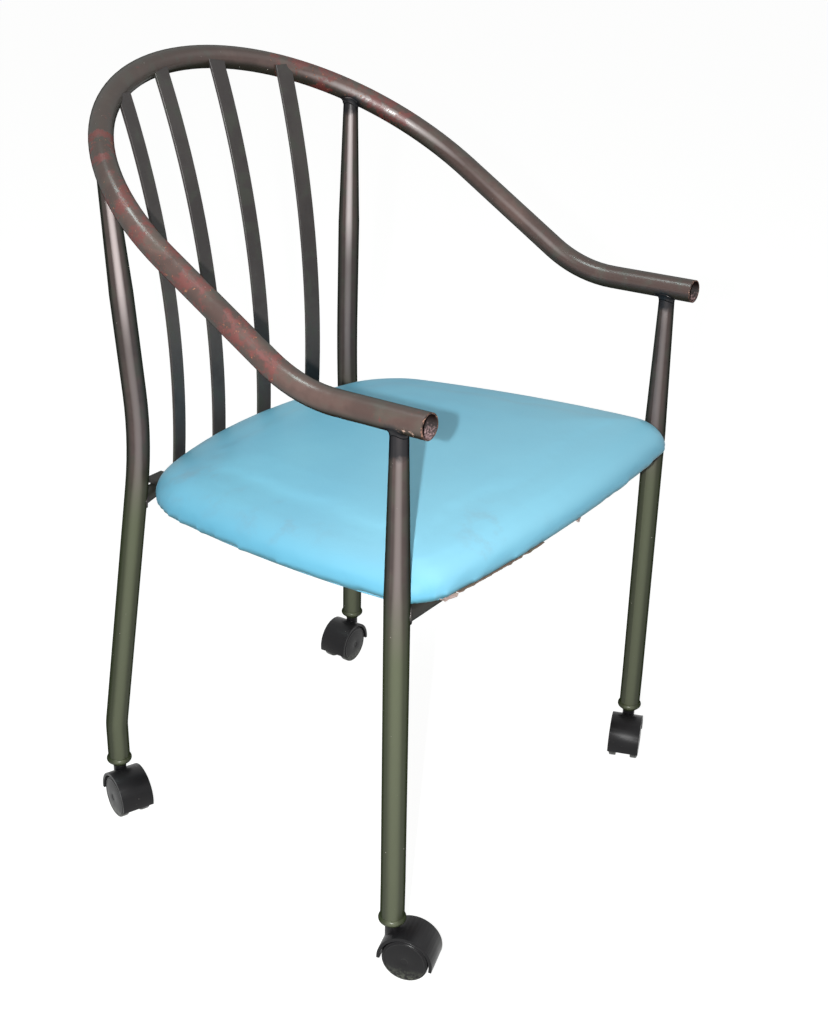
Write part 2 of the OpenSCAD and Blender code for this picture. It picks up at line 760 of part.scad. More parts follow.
hoop_rail();
front_leg(-1);  // front_leg_left
front_leg(1);  // front_leg_right
rear_leg(-1);  // rear_leg_left
rear_leg(1);  // rear_leg_right
back_slat(1, -1);  // back_slat_1
back_slat(0, -1);  // back_slat_2
back_slat(0, 1);  // back_slat_3
back_slat(1, 1);  // back_slat_4
rear_seat_rail();
front_seat_rail();
seat_bar(-1);  // seat_bar_left
seat_bar(1);  // seat_bar_right
seat_board();
seat_foam();
seat_cover();
seat_screws();
seat_staples();
leg_socket(0);  // leg_socket_fl
leg_socket(1);  // leg_socket_fr
leg_socket(2);  // leg_socket_rl
leg_socket(3);  // leg_socket_rr
caster_stem(0);  // caster_stem_fl
caster_stem(1);  // caster_stem_fr
caster_stem(2);  // caster_stem_rl
caster_stem(3);  // caster_stem_rr
stem_clip(0);  // stem_clip_fl
stem_clip(1);  // stem_clip_fr
stem_clip(2);  // stem_clip_rl
stem_clip(3);  // stem_clip_rr
caster_hood(0);  // caster_hood_fl
caster_hood(1);  // caster_hood_fr
caster_hood(2);  // caster_hood_rl
caster_hood(3);  // caster_hood_rr
caster_axle(0);  // caster_axle_fl
caster_axle(1);  // caster_axle_fr
caster_axle(2);  // caster_axle_rl
caster_axle(3);  // caster_axle_rr
wheel(0, 1);  // wheel_a_fl
wheel(0, -1);  // wheel_b_fl
wheel(1, 1);  // wheel_a_fr
wheel(1, -1);  // wheel_b_fr
wheel(2, 1);  // wheel_a_rl
wheel(2, -1);  // wheel_b_rl
wheel(3, 1);  // wheel_a_rr
wheel(3, -1);  // wheel_b_rr
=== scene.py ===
"""Looks of a weathered tube armchair on twin-wheel casters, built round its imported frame."""
import json
import math

import bmesh
import bpy
from bpy.props import FloatProperty, FloatVectorProperty, IntProperty, PointerProperty, StringProperty
from mathutils import Matrix, Vector, noise
from mathutils.bvhtree import BVHTree


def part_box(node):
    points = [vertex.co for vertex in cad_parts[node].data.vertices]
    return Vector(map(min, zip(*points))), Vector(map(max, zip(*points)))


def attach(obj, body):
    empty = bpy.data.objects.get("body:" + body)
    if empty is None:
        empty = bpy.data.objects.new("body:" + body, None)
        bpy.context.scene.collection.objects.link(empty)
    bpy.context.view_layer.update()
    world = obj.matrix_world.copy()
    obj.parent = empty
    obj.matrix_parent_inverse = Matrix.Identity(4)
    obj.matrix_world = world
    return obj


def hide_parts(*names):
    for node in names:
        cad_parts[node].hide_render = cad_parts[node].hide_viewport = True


bl_info = {
    "name": "Weathered Tube Armchair",
    "version": (1, 0, 0),
    "blender": (4, 5, 0),
    "location": "3D View > Sidebar > Armchair",
    "description": "Dresses a steel tube armchair: worn enamel, welds, padded seat, torn hem and casters",
    "category": "Object",
}

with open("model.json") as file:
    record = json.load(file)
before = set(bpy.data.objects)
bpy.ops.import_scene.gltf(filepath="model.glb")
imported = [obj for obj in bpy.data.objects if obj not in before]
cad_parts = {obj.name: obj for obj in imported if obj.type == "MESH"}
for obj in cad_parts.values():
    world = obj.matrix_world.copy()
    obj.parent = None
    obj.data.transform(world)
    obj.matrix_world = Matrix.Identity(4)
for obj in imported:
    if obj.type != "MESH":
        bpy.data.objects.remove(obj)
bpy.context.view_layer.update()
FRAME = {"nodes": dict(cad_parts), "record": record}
NODES = FRAME["nodes"]
JOINTS = {joint["name"]: joint for joint in FRAME["record"]["behaviour"]["joints"]}
MOUNTS = {mount["name"]: mount for mount in FRAME["record"]["mounts"]}
FEET = ("fl", "fr", "rl", "rr")
LEGS = ("front_leg_left", "front_leg_right", "rear_leg_left", "rear_leg_right")
SLATS = ("back_slat_1", "back_slat_2", "back_slat_3", "back_slat_4")
UP = Vector((0, 0, 1))
TUBE_WALL = 0.0015
ARM_FALL = 0.0308    # the arm's centre line falls by this much of its run towards the back
BOARD_ROOM = 0.0006  # room between the board and the pad
BOARD_HOLD = 0.004   # padding nearer than this to the board keeps its place
PRESSED_FROM = 0.006  # padding lower than this over the seat plane keeps its place
RIM_LIFT = 0.0011    # the pad's lowest rim lies on the hem, this high over the seat plane
SMOOTHINGS = 14
CLOTH_FRAMES = 20
PROBE_BACK = 0.03    # a ray that looks for a weld's place starts this far back
PROBE_REACH = 0.07   # and looks this far


# ---- settings ----

def measure(name, description, default):
    """A length in metres that a user may change."""
    return FloatProperty(name=name, description=description, default=default, unit="LENGTH")


def paint(name, description, default):
    """An sRGB hex colour that a user may change."""
    return StringProperty(name=name, description=description, default=default)


class TubeSettings(bpy.types.PropertyGroup):
    """Sizes and colours of the enamelled tubes and bars"""
    tube_d: measure("Tube", "Diameter of the tubes", 0.0254)
    neck_d: measure("Neck", "Diameter of a leg's narrow end", 0.0176)
    front_rail_d: measure("Front rail", "Diameter of the front rail", 0.0222)
    rear_rail_d: measure("Rear rail", "Diameter of the rear rail", 0.0160)
    fillet: measure("Weld fillet", "Reach of the weld at a leg's top", 0.0044)
    bead_r: measure("Weld bead", "Radius of a weld bead", 0.0016)
    ripple: measure("Ripple", "Spacing of a weld's ripples", 0.0022)
    bronze: paint("Bronze", "Enamel of the upper legs", "#413735")
    brown: paint("Brown", "Enamel of the hoop", "#48332D")
    tan: paint("Tan", "Paler, worn tone of the hoop", "#624A43")
    mauve: paint("Mauve", "Paler, worn tone of the upper legs", "#514340")
    # olive is mostly a painted reflection of a green floor on the lower legs, over their own paint
    olive_paint_and_reflection: paint("Olive", "Enamel of the lower legs", "#3B3F2D")
    slate: paint("Slate", "Enamel of the slats", "#3A3534")
    film: paint("Film", "Grey-green film of dirt on the enamel", "#3F443A")
    # Painted highlight and painted shade colours of the lower legs
    olive_highlight: paint("Olive flake", "The lower legs face on", "#5E634E")
    olive_shade: paint("Olive edge", "The lower legs at a slant", "#3B422F")
    soot: paint("Soot", "Burnt paint beside the welds", "#18191D")
    rust: paint("Rust", "Rust where the enamel has gone", "#6B3531")
    # olive_from is the height where that mostly painted floor reflection begins
    olive_from: measure("Olive below", "Height where the olive tone takes over", 0.415)


class SeatSettings(bpy.types.PropertyGroup):
    """Sizes and colours of the padded seat"""
    tilt: FloatProperty(name="Tilt", description="Fall of the seat to the back", default=math.radians(3),
                        subtype="ANGLE")
    voxel: measure("Voxel", "Mesh size of the simulated pad", 0.005)
    pressure: FloatProperty(name="Pressure", description="Push of the padding", default=4.0)
    swell: measure("Swell", "Most that a point of the pad may move", 0.0022)
    bulge: measure("Bulge", "How far the pad's sides stand out over the board's edge", 0.0042)
    hem_w: measure("Hem", "Width of the cover's hem", 0.034)
    leg_gap: measure("Leg gap", "Room between the pad and a leg", 0.0004)
    vinyl: paint("Vinyl", "Colour of the cover", "#80C8E1")
    dirt: paint("Dirt", "Colour of the smudges", "#8E9AA8")
    lining: paint("Lining", "Foam and lining at the tear", "#CDB9B4")


class CasterSettings(bpy.types.PropertyGroup):
    """Sizes and colours of the casters"""
    edge: measure("Edge", "Rounding of the hood's edges", 0.0007)
    steps: IntProperty(name="Steps", description="Steps round a wheel", default=72, min=24, max=128)
    black: paint("Black", "Moulded plastic", "#18191B")
    dust: paint("Dust", "Dust on the treads", "#6C6F62")


class StageSettings(bpy.types.PropertyGroup):
    """Camera, floor and lights"""
    camera_at: FloatVectorProperty(name="Camera", description="Place of the camera", size=3,
                                   default=(-1.2438, -0.9369, 1.1050), subtype="TRANSLATION")
    target: FloatVectorProperty(name="Target", description="Point in the middle of the view", size=3,
                                default=(-0.02784, -0.08399, 0.39677), subtype="TRANSLATION")
    roll: FloatProperty(name="Roll", description="Roll of the camera", default=math.radians(1.55),
                        subtype="ANGLE")
    lens: FloatProperty(name="Lens", description="Focal length in millimetres", default=52.8)
    floor: paint("Floor", "Colour of the floor", "#8E8F8C")


# ---- small helpers ----

def linear(hex_colour):
    """Linear RGBA of an sRGB hex colour."""
    parts = [int(hex_colour[i:i + 2], 16) / 255 for i in (1, 3, 5)]
    return tuple(c / 12.92 if c <= 0.04045 else ((c + 0.055) / 1.055) ** 2.4 for c in parts) + (1.0,)


# Short names of the steps that the patterns are built from: node, settings, inputs and result
STEPS = {
    "ramp": ("ShaderNodeMapRange", {"interpolation_type": "SMOOTHSTEP"},
             ("Value", "From Min", "From Max"), "Result"),
    "blend": ("ShaderNodeMix", {"data_type": "RGBA"}, (0, 6, 7), 2),
    "bump": ("ShaderNodeBump", {}, ("Height", "Distance", "Normal"), "Normal"),
    # Noise from 0 to 1; with a scale of 1 / size its patches are about size metres across
    "speckle": ("ShaderNodeTexNoise", {}, ("Vector", "Scale", "Detail", "Roughness"), "Fac"),
    **{step: ("ShaderNodeSeparateXYZ", {}, ("Vector",), axis) for step, axis in (
        ("sideways", "X"), ("rearward", "Y"), ("upward", "Z"))},
    **{step: ("ShaderNodeMath", {"operation": operation}, (0, 1), 0) for step, operation in (
        ("plus", "ADD"), ("minus", "SUBTRACT"), ("times", "MULTIPLY"), ("over", "DIVIDE"),
        ("most", "MAXIMUM"), ("unsigned", "ABSOLUTE"), ("root", "SQRT"), ("sine", "SINE"))},
}


class Nodes:
    """Builds a node tree; called with a step's name and values, it adds the step and gives its result"""

    def __init__(self, tree):
        self.tree = tree
        self.place = self.outward = None

    def fill(self, node, inputs):
        """Links or sets a node's inputs; a hex colour is made linear."""
        for key, value in inputs.items():
            if isinstance(value, bpy.types.NodeSocket):
                self.tree.links.new(value, node.inputs[key])
            else:
                node.inputs[key].default_value = linear(value) if isinstance(value, str) else value

    def add(self, kind, inputs=None, **settings):
        """Adds a node with its settings, values and links."""
        made = self.tree.nodes.new(kind)
        set_all(made, **settings)
        self.fill(made, inputs or {})
        return made

    def __call__(self, step, *values):
        kind, settings, keys, result = STEPS[step]
        return self.add(kind, dict(zip(keys, values)), **settings).outputs[result]


def new_object(name, bm, material=None, smooth=True):
    """A mesh object at the origin from a bmesh, with one material or none."""
    mesh = bpy.data.meshes.new(name)
    bm.to_mesh(mesh)
    bm.free()
    made = bpy.data.objects.new(name, mesh)
    bpy.context.collection.objects.link(made)
    if material:
        mesh.materials.append(material)
    if smooth:
        mesh.shade_smooth()
    return made


def dress(material, *nodes):
    """Gives every face of these CAD nodes one material."""
    for node in nodes:
        NODES[node].data.materials.clear()
        NODES[node].data.materials.append(material)


def each_foot(*parts):
    """The nodes of these parts at all four feet."""
    return [f"{part}_{foot}" for foot in FEET for part in parts]


def merged_copy(node):
    """A bmesh of a CAD node with its loose triangles joined."""
    bm = bmesh.new()
    bm.from_mesh(NODES[node].data)
    bmesh.ops.remove_doubles(bm, verts=bm.verts, dist=1e-6)
    return bm


def set_all(target, **values):
    """Sets several of a thing's values."""
    for name, value in values.items():
        setattr(target, name, value)


def modify(obj, name, kind, **values):
    """Gives the object a modifier with these values."""
    made = obj.modifiers.new(name, kind)
    set_all(made, **values)
    return made


def apply_modifiers(obj):
    """Turns the evaluated object into its plain mesh."""
    graph = bpy.context.evaluated_depsgraph_get()
    old = obj.data
    obj.data = bpy.data.meshes.new_from_object(obj.evaluated_get(graph))
    obj.modifiers.clear()
    bpy.data.meshes.remove(old)


def smooth_step(low, high, x):
    t = min(1, max(0, (x - low) / (high - low)))
    return t * t * (3 - 2 * t)


# ---- materials ----

def start_material(name):
    """A material, the builder of its tree and its shader; its patterns lie on Object coordinates."""
    made = bpy.data.materials.new(name)
    made.use_nodes = True
    tree = Nodes(made.node_tree)
    texture = tree.add("ShaderNodeTexCoord").outputs
    tree.place, tree.outward = texture["Object"], texture["Normal"]
    return made, tree, made.node_tree.nodes["Principled BSDF"]


def near(tree, points, reach, soft):
    """1 within reach of any of the points, fading over soft metres."""
    total = None
    for point in points:
        gap = tree.add("ShaderNodeVectorMath", {0: tree.place, 1: tuple(point)}, operation="DISTANCE")
        mask = tree("ramp", gap.outputs["Value"], reach + soft, reach)
        total = mask if total is None else tree("most", total, mask)
    return total


def turned_away(tree, upright):
    """0 where the surface faces the eye and 1 at a slant; an upright tube is judged across its width."""
    if not upright:
        return tree.add("ShaderNodeLayerWeight", {"Blend": 0.5}).outputs["Facing"]
    sight = tree.add("ShaderNodeNewGeometry").outputs
    level = []
    for key in ("Incoming", "Normal"):
        flat = tree.add("ShaderNodeVectorMath", {0: sight[key], 1: (1, 1, 0)}, operation="MULTIPLY")
        even = tree.add("ShaderNodeVectorMath", {0: flat.outputs[0]}, operation="NORMALIZE")
        level.append(even.outputs[0])
    toward = tree.add("ShaderNodeVectorMath", {0: level[0], 1: level[1]}, operation="DOT_PRODUCT")
    return tree("minus", 1.0, tree("unsigned", toward.outputs["Value"]))


def worn_enamel(name, main, pale, under, burnt=(), rusty=(), chipped=(), rust_level=0.70,
                olive_from=None, ding_level=0.76, open_at=None, gloss=0.34, painted_light_strength=1.0,
                painted_highlight="#A59895", upright=False, polish=0.32):
    """Flaked bronze enamel, sprayed and baked on steel, with a painted highlight where it faces the eye
    and painted shade at a slant and underneath; burnt beside welds, stained and chipped through to rust
    in patches, and dinged to pale metal."""
    tubes = bpy.context.scene.chair_tubes
    made, tree, shader = start_material(name)
    cloud = tree("speckle", tree.place, 1 / 0.11, 2.0, 0.55)
    fine = tree("speckle", tree.place, 1 / 0.005, 6.0, 0.55)
    mottle = tree("speckle", tree.place, 1 / 0.020, 3.0, 0.5)
    tone = tree("plus", tree("times", cloud, 0.7), tree("times", mottle, 0.4))
    colour = tree("blend", tree("ramp", tone, 0.46, 0.66), main, pale)
    film = tree("times", tree("ramp", mottle, 0.50, 0.66), 0.5)
    colour = tree("blend", film, colour, tubes.film)
    # The colour given as under is painted shade, laid on at a slant and on undersides
    edge = under
    # Low on the legs the colour turns olive: mostly a painted reflection of a green floor, over their own
    # paint
    if olive_from is not None:
        height = tree("plus", tree("upward", tree.place), tree("times", cloud, 0.05))
        low = tree("ramp", height, olive_from + 0.075, olive_from - 0.02)
        colour = tree("blend", low, colour, tubes.olive_paint_and_reflection)
        edge = tree("blend", low, edge, tubes.olive_shade)
    # Painted highlight: the colour turns to the highlight tone where the surface faces the eye, that tone
    # changing
    #     with height; painted shade: it turns to the edge colour at a slant and on undersides
    facing = turned_away(tree, upright)
    spread = 0.085 if olive_from is None else tree("plus", tree("times", low, 0.115), 0.085)
    painted_highlight_mask = tree("times", tree("ramp", facing, spread, -0.015), 0.95 * painted_light_strength)
    painted_highlight_tone = painted_highlight
    if olive_from is not None:
        painted_highlight_tone = tree("blend", tree("ramp", height, 0.68, 0.59), painted_highlight_tone, "#776D6B")
        painted_highlight_tone = tree("blend", low, painted_highlight_tone, tubes.olive_highlight)
    colour = tree("blend", painted_highlight_mask, colour, painted_highlight_tone)
    # slant is the painted shade mask; it also lowers the specular level
    slant = tree("times", tree("ramp", facing, 0.04, 0.52 if upright else 0.85), painted_light_strength)
    slant = tree("most", slant, tree("ramp", tree("upward", tree.outward), 0.10, -0.60))
    colour = tree("blend", tree("times", slant, 0.85), colour, edge)
    # Rust stain bleeds through the paint in ragged patches, 5 to 20 mm across
    gather = tree("times", near(tree, rusty, 0.014, 0.032), 0.185) if rusty else 0.0
    broad = tree("plus", tree("speckle", tree.place, 1 / 0.016, 6.0, 0.66), gather)
    stain = tree("ramp", broad, rust_level - 0.02, rust_level + 0.09)
    colour = tree("blend", tree("times", stain, 0.86), colour, tubes.rust)
    # Chips: flakes of 2 or 3 mm, some down to bright rust and some to pale undercoat
    gather = tree("times", gather, 0.60)
    if chipped:
        gather = tree("most", gather, tree("times", near(tree, chipped, 0.002, 0.007), 0.18))
    scales = tree("plus", tree("speckle", tree.place, 1 / 0.0034, 5.0, 0.6), gather)
    chip = tree("ramp", scales, rust_level + 0.085, rust_level + 0.105)
    bare = tree("blend", tree("ramp", fine, 0.42, 0.58), "#6E3A2A", "#A56C50")
    if chipped:
        bare = tree("blend", near(tree, chipped, 0.006, 0.006), bare, "#BFA291")
    colour = tree("blend", chip, colour, bare)
    ding = tree("ramp", tree("speckle", tree.place, 1 / 0.0036, 2.0, 0.55), ding_level, ding_level + 0.02)
    colour = tree("blend", tree("times", ding, 0.8), colour, "#C4BBB0")
    worn = tree("most", tree("times", stain, 0.35), chip)
    ragged = tree("times", tree("speckle", tree.place, 1 / 0.006, 5.0, 0.55), 0.7)
    for spots, reach in burnt:
        soot = tree("minus", near(tree, spots, reach, 0.020), ragged)
        soot = tree("times", tree("ramp", soot, -0.10, 0.40), 0.93)
        colour = tree("blend", soot, colour, tubes.soot)
    if open_at:
        colour, worn = open_end(tree, open_at, colour, worn)
    rough = tree("plus", tree("times", worn, 0.40), tree("times", fine, 0.10))
    peel = tree("bump", tree("speckle", tree.place, 1 / 0.0018, 1.0, 0.55), 0.00003)
    pits = tree("minus", tree("times", worn, fine), tree("times", ding, 0.5))
    tree.fill(shader, {
        "Base Color": colour, "Roughness": tree("plus", rough, gloss - 0.05),
        "Specular IOR Level": tree("times", tree("minus", 1.0, slant), polish),
        "Normal": tree("bump", pits, 0.0004, peel)})
    return made


def open_end(tree, end, colour, worn):
    """Bare rusty bores and a chipped rim at the tube's open ends, which lie mirrored in x."""
    side = tree("minus", tree("unsigned", tree("sideways", tree.place)), abs(end.x))
    deep = tree("minus", tree("rearward", tree.place), end.y)
    rise = tree("plus", tree("minus", tree("upward", tree.place), end.z), tree("times", deep, ARM_FALL))
    off = tree("root", tree("plus", tree("times", side, side), tree("times", rise, rise)))
    bore_r = bpy.context.scene.chair_tubes.tube_d / 2 - TUBE_WALL
    inside = tree("times", tree("ramp", off, bore_r + 0.0004, bore_r + 0.0002),
                  tree("ramp", deep, 0.11, 0.10))
    mottle = tree("speckle", tree.place, 1 / 0.0022, 5.0, 0.7)
    # The bore is painted near black towards its top and speckled pink towards its bottom
    lower_in_bore = tree("minus", mottle, tree("times", rise, 22.0))
    pink = tree("blend", tree("ramp", lower_in_bore, 0.58, 0.86), "#1F1615", "#A98C8C")
    colour = tree("blend", inside, colour, pink)
    lip = tree("plus", deep, tree("times", mottle, -0.0022))
    rim = tree("times", tree("ramp", lip, 0.0002, -0.0003), tree("ramp", off, bore_r, bore_r + 0.0003))
    bare = tree("blend", tree("ramp", mottle, 0.50, 0.62), "#33241F", "#A57C6A")
    colour = tree("blend", rim, colour, bare)
    return colour, tree("most", worn, tree("most", inside, rim))


def coated_cloth(name, colour_hex, dirt_hex):
    """PVC-coated upholstery cloth: smooth, soft sheen, with a fine pressed grain and old grime."""
    made, tree, shader = start_material(name)
    cloud = tree("speckle", tree.place, 1 / 0.16, 3.0, 0.55)
    colour = tree("blend", tree("ramp", cloud, 0.30, 0.72), colour_hex, "#78BEDA")
    # Painted light: the cover is paler towards the front
    front = tree("ramp", tree("rearward", tree.place), 0.10, -0.25)
    colour = tree("blend", tree("times", front, 0.8), colour, "#92D2E9")
    # Grime gathers at the left side and corner, and in faint smudges
    grime = tree("ramp", tree("speckle", tree.place, 1 / 0.04, 7.0, 0.65), 0.47, 0.72)
    rubbed = near(tree, [(-0.22, 0.07, 0.44), (-0.24, -0.06, 0.43), (-0.12, -0.26, 0.43)], 0.02, 0.07)
    colour = tree("blend", tree("times", tree("times", grime, rubbed), 0.42), colour, dirt_hex)
    # Painted shade: the colour darkens where the surface turns from the top, more on the left side, and
    # the lowest rim is painted dark
    painted_side_shade = tree("plus", tree("times", tree("ramp", tree("sideways", tree.outward), -0.25, -0.70), 0.4),
                tree("times", tree("ramp", tree("upward", tree.outward), 0.85, 0.35), 0.45))
    colour = tree("blend", painted_side_shade, colour, "#64AECB")
    rim = tree("times", tree("ramp", tree("upward", tree.outward), 0.15, -0.60), 0.7)
    grain = tree.add("ShaderNodeTexVoronoi", {"Vector": tree.place, "Scale": 1 / 0.0016})
    soft = tree("bump", tree("speckle", tree.place, 1 / 0.03, 2.0, 0.55), 0.0006)
    # The base colour takes the painted shade of the lowest rim
    tree.fill(shader, {
        "Base Color": tree("blend", rim, colour, "#3F7C86"),
        "Roughness": tree("plus", tree("times", cloud, 0.14), 0.42),
        "Specular IOR Level": 0.22, "Normal": tree("bump", grain.outputs["Distance"], 0.00006, soft)})
    return made


def moulded_black(name, black_hex, dust_hex, floor_dust):
    """Injection-moulded black nylon: satin with scratches, dusty near the floor."""
    made, tree, shader = start_material(name)
    cloud = tree("speckle", tree.place, 1 / 0.02, 4.0, 0.55)
    colour = tree("blend", cloud, black_hex, "#211F20")
    low = tree("ramp", tree("upward", tree.place), floor_dust, 0.002)
    dust = tree("times", low, tree("ramp", tree("speckle", tree.place, 1 / 0.004, 6.0, 0.55), 0.38, 0.62))
    colour = tree("blend", tree("times", dust, 0.65), colour, dust_hex)
    fleck = tree("ramp", tree("speckle", tree.place, 1 / 0.0028, 2.0, 0.55), 0.76, 0.79)
    tree.fill(shader, {
        "Base Color": tree("blend", fleck, colour, "#A9A79E"), "Specular IOR Level": 0.20,
        "Roughness": tree("plus", tree("times", cloud, 0.2), 0.26),
        "Normal": tree("bump", tree("speckle", tree.place, 1 / 0.0008, 2.0, 0.55), 0.00003)})
    return made


def plain_steel(name):
    """Zinc-plated turned steel, dulled."""
    made, tree, shader = start_material(name)
    cloud = tree("speckle", tree.place, 1 / 0.004, 4.0, 0.55)
    tree.fill(shader, {
        "Base Color": tree("blend", cloud, "#A5A39C", "#6F6A61"), "Metallic": 1.0,
        "Roughness": tree("times", cloud, 0.35)})
    return made


def raw_plywood(name):
    """Rotary-cut plywood face: long grain along the chair, grey with age."""
    made, tree, shader = start_material(name)
    stretch = tree.add("ShaderNodeMapping", {"Vector": tree.place, "Scale": (1.0, 0.06, 1.0)})
    grain = tree("speckle", stretch.outputs["Vector"], 1 / 0.004, 8.0, 0.55)
    colour = tree("blend", grain, "#8A6B48", "#B79467")
    stain = tree("ramp", tree("speckle", tree.place, 1 / 0.06, 4.0, 0.55), 0.52, 0.68)
    colour = tree("blend", tree("times", stain, 0.4), colour, "#5E4B38")
    tree.fill(shader, {"Base Color": colour, "Roughness": 0.82, "Normal": tree("bump", grain, 0.0003)})
    return made


def frayed_lining(name, colour_hex):
    """Crumbling foam with its woven lining: matt and pitted."""
    made, tree, shader = start_material(name)
    cell = tree("speckle", tree.place, 1 / 0.0016, 6.0, 0.55)
    stain = tree("speckle", tree.place, 1 / 0.012, 4.0, 0.55)
    colour = tree("blend", cell, "#8B6F63", colour_hex)
    colour = tree("blend", tree("ramp", stain, 0.5, 0.7), colour, "#6D6A55")
    tree.fill(shader, {"Base Color": colour, "Roughness": 0.95, "Normal": tree("bump", cell, 0.0006)})
    return made


# ---- places worked out from the frame ----

def top_of_leg(node):
    """Middle of a leg's top and its way up, from the mesh near the end."""
    points = [v.co for v in NODES[node].data.vertices]
    top = max(p.z for p in points)
    rings = [[p for p in points if low < top - p.z < high] for low, high in ((0.0, 0.02), (0.05, 0.20))]
    upper, lower = [sum(ring, Vector()) / len(ring) for ring in rings]
    return upper, (upper - lower).normalized()


def seat_plane():
    """Fall to the back, and height at y = 0, of the plane that the cover's underside lies on."""
    fall = math.tan(bpy.context.scene.chair_seat.tilt)
    return fall, min(v.co.z + v.co.y * fall for v in NODES["seat_cover"].data.vertices)


def hull_outline(points):
    """Convex outline of flat points, anticlockwise."""
    points = sorted(set((round(p[0], 6), round(p[1], 6)) for p in points))

    def half(run):
        out = []
        for p in run:
            while len(out) > 1 and ((out[-1][0] - out[-2][0]) * (p[1] - out[-2][1])
                                    <= (out[-1][1] - out[-2][1]) * (p[0] - out[-2][0])):
                out.pop()
            out.append(p)
        return out[:-1]

    return half(points) + half(points[::-1])


def even_outline(outline, steps):
    """The closed outline as that many evenly spaced points with their outward normals."""
    ring = [Vector(p) for p in outline]
    sides = [(ring[i], ring[(i + 1) % len(ring)]) for i in range(len(ring))]
    total = sum((b - a).length for a, b in sides)
    out = []
    for k in range(steps):
        left = total * k / steps
        for a, b in sides:
            if left <= (b - a).length:
                out.append(a.lerp(b, left / (b - a).length))
                break
            left -= (b - a).length
    normals = []
    for k in range(steps):
        along = (out[(k + 2) % steps] - out[k - 2]).normalized()
        normals.append(Vector((along.y, -along.x)))
    return out, normals


def seat_outline(steps):
    return even_outline(hull_outline([v.co[:2] for v in NODES["seat_cover"].data.vertices]), steps)


# ---- welds ----

def weld_tree():
    """Geometry nodes: a rippled bead of weld metal along a curve."""
    group = bpy.data.node_groups.new("weld_bead", "GeometryNodeTree")
    tree = Nodes(group)
    face = group.interface
    face.new_socket("Geometry", in_out="INPUT", socket_type="NodeSocketGeometry")
    sizes = {}
    for name, kind in (("Bead Radius", "Float"), ("Ripple Spacing", "Float"), ("Ripple Depth", "Float"),
                       ("Material", "Material")):
        socket = face.new_socket(name, in_out="INPUT", socket_type=f"NodeSocket{kind}")
        sizes[name] = socket.identifier
    face.new_socket("Geometry", in_out="OUTPUT", socket_type="NodeSocketGeometry")
    start = tree.add("NodeGroupInput").outputs
    curve = tree.add("GeometryNodeMeshToCurve", {"Mesh": start["Geometry"]})
    step = tree("over", start["Ripple Spacing"], 3.0)
    even = tree.add("GeometryNodeResampleCurve", {"Curve": curve.outputs["Curve"], "Length": step},
                    mode="LENGTH")
    along = tree.add("GeometryNodeSplineParameter").outputs["Length"]
    turns = tree("over", along, start["Ripple Spacing"])
    wave = tree("sine", tree("times", turns, 2 * math.pi))
    lump = tree.add("ShaderNodeTexNoise", {"Scale": 160.0, "Detail": 2.0}).outputs["Fac"]
    swell = tree("plus", tree("times", wave, start["Ripple Depth"]), tree("times", lump, 0.9))
    radius = tree("times", start["Bead Radius"], tree("plus", swell, 0.55))
    sized = tree.add("GeometryNodeSetCurveRadius", {"Curve": even.outputs["Curve"], "Radius": radius})
    section = tree.add("GeometryNodeCurvePrimitiveCircle", {"Resolution": 10, "Radius": 1.0})
    tube = tree.add("GeometryNodeCurveToMesh", {
        "Curve": sized.outputs["Curve"], "Profile Curve": section.outputs["Curve"], "Fill Caps": True,
        "Scale": radius})
    soft = tree.add("GeometryNodeSetShadeSmooth", {"Geometry": tube.outputs["Mesh"]})
    real = tree.add("GeometryNodeRealizeInstances", {"Geometry": soft.outputs["Geometry"]})
    done = tree.add("GeometryNodeSetMaterial", {"Geometry": real.outputs["Geometry"],
                                                "Material": start["Material"]})
    tree.add("NodeGroupOutput", {"Geometry": done.outputs["Geometry"]})
    return group, sizes


def shape_of(node):
    """A search tree over a CAD node's faces."""
    bm = merged_copy(node)
    tree = BVHTree.FromBMesh(bm)
    bm.free()
    return tree


def across(along):
    """Two directions square to a direction and to each other."""
    side = along.cross(UP if abs(along.z) < 0.9 else Vector((0, 1, 0))).normalized()
    return side, side.cross(along).normalized()


def meeting_line(host, centre, along, outline):
    """Points where a section, pushed along a direction, meets the host's surface."""
    side, other = across(along)
    hits = []
    for x, y in outline:
        start = centre + side * x + other * y - along * PROBE_BACK
        hit = host.ray_cast(start, along, PROBE_REACH)[0]
        if hit is not None:
            hits.append(hit)
    return hits


def circle(radius, steps=40):
    return [(radius * math.cos(2 * math.pi * i / steps), radius * math.sin(2 * math.pi * i / steps))
            for i in range(steps)]


def bead_object(name, lines, material):
    """One mesh with a bead along each line; a line is its points and whether it closes."""
    tubes = bpy.context.scene.chair_tubes
    group, sizes = weld_tree()
    bm = bmesh.new()
    for points, closed in lines:
        verts = [bm.verts.new(p) for p in points]
        for a, b in zip(verts, verts[1:]):
            bm.edges.new((a, b))
        if closed:
            bm.edges.new((verts[-1], verts[0]))
    made = new_object(name, bm, material, smooth=False)
    modifier = made.modifiers.new("weld", "NODES")
    modifier.node_group = group
    for key, value in (("Bead Radius", tubes.bead_r), ("Ripple Spacing", tubes.ripple),
                       ("Ripple Depth", 0.10), ("Material", material)):
        modifier[sizes[key]] = value
    apply_modifiers(made)
    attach(made, "frame")
    return made


def quads(bm, rows, closed_rows, closed_columns):
    """Faces between rows of vertices; closed rows are rings, closed columns join the last row up."""
    pairs = list(zip(rows, rows[1:])) + ([(rows[-1], rows[0])] if closed_columns else [])
    for a, b in pairs:
        for i in range(len(a) if closed_rows else len(a) - 1):
            j = (i + 1) % len(a)
            bm.faces.new((a[i], a[j], b[j], b[i]))


def fillet_section(start, corner, end, hidden, steps=7):
    """Hollow curve from one surface to the other, closed by a point inside the metal."""
    way = [k / steps for k in range(steps + 1)]
    return [start * (1 - t) ** 2 + corner * 2 * t * (1 - t) + end * t ** 2 for t in way] + [hidden]


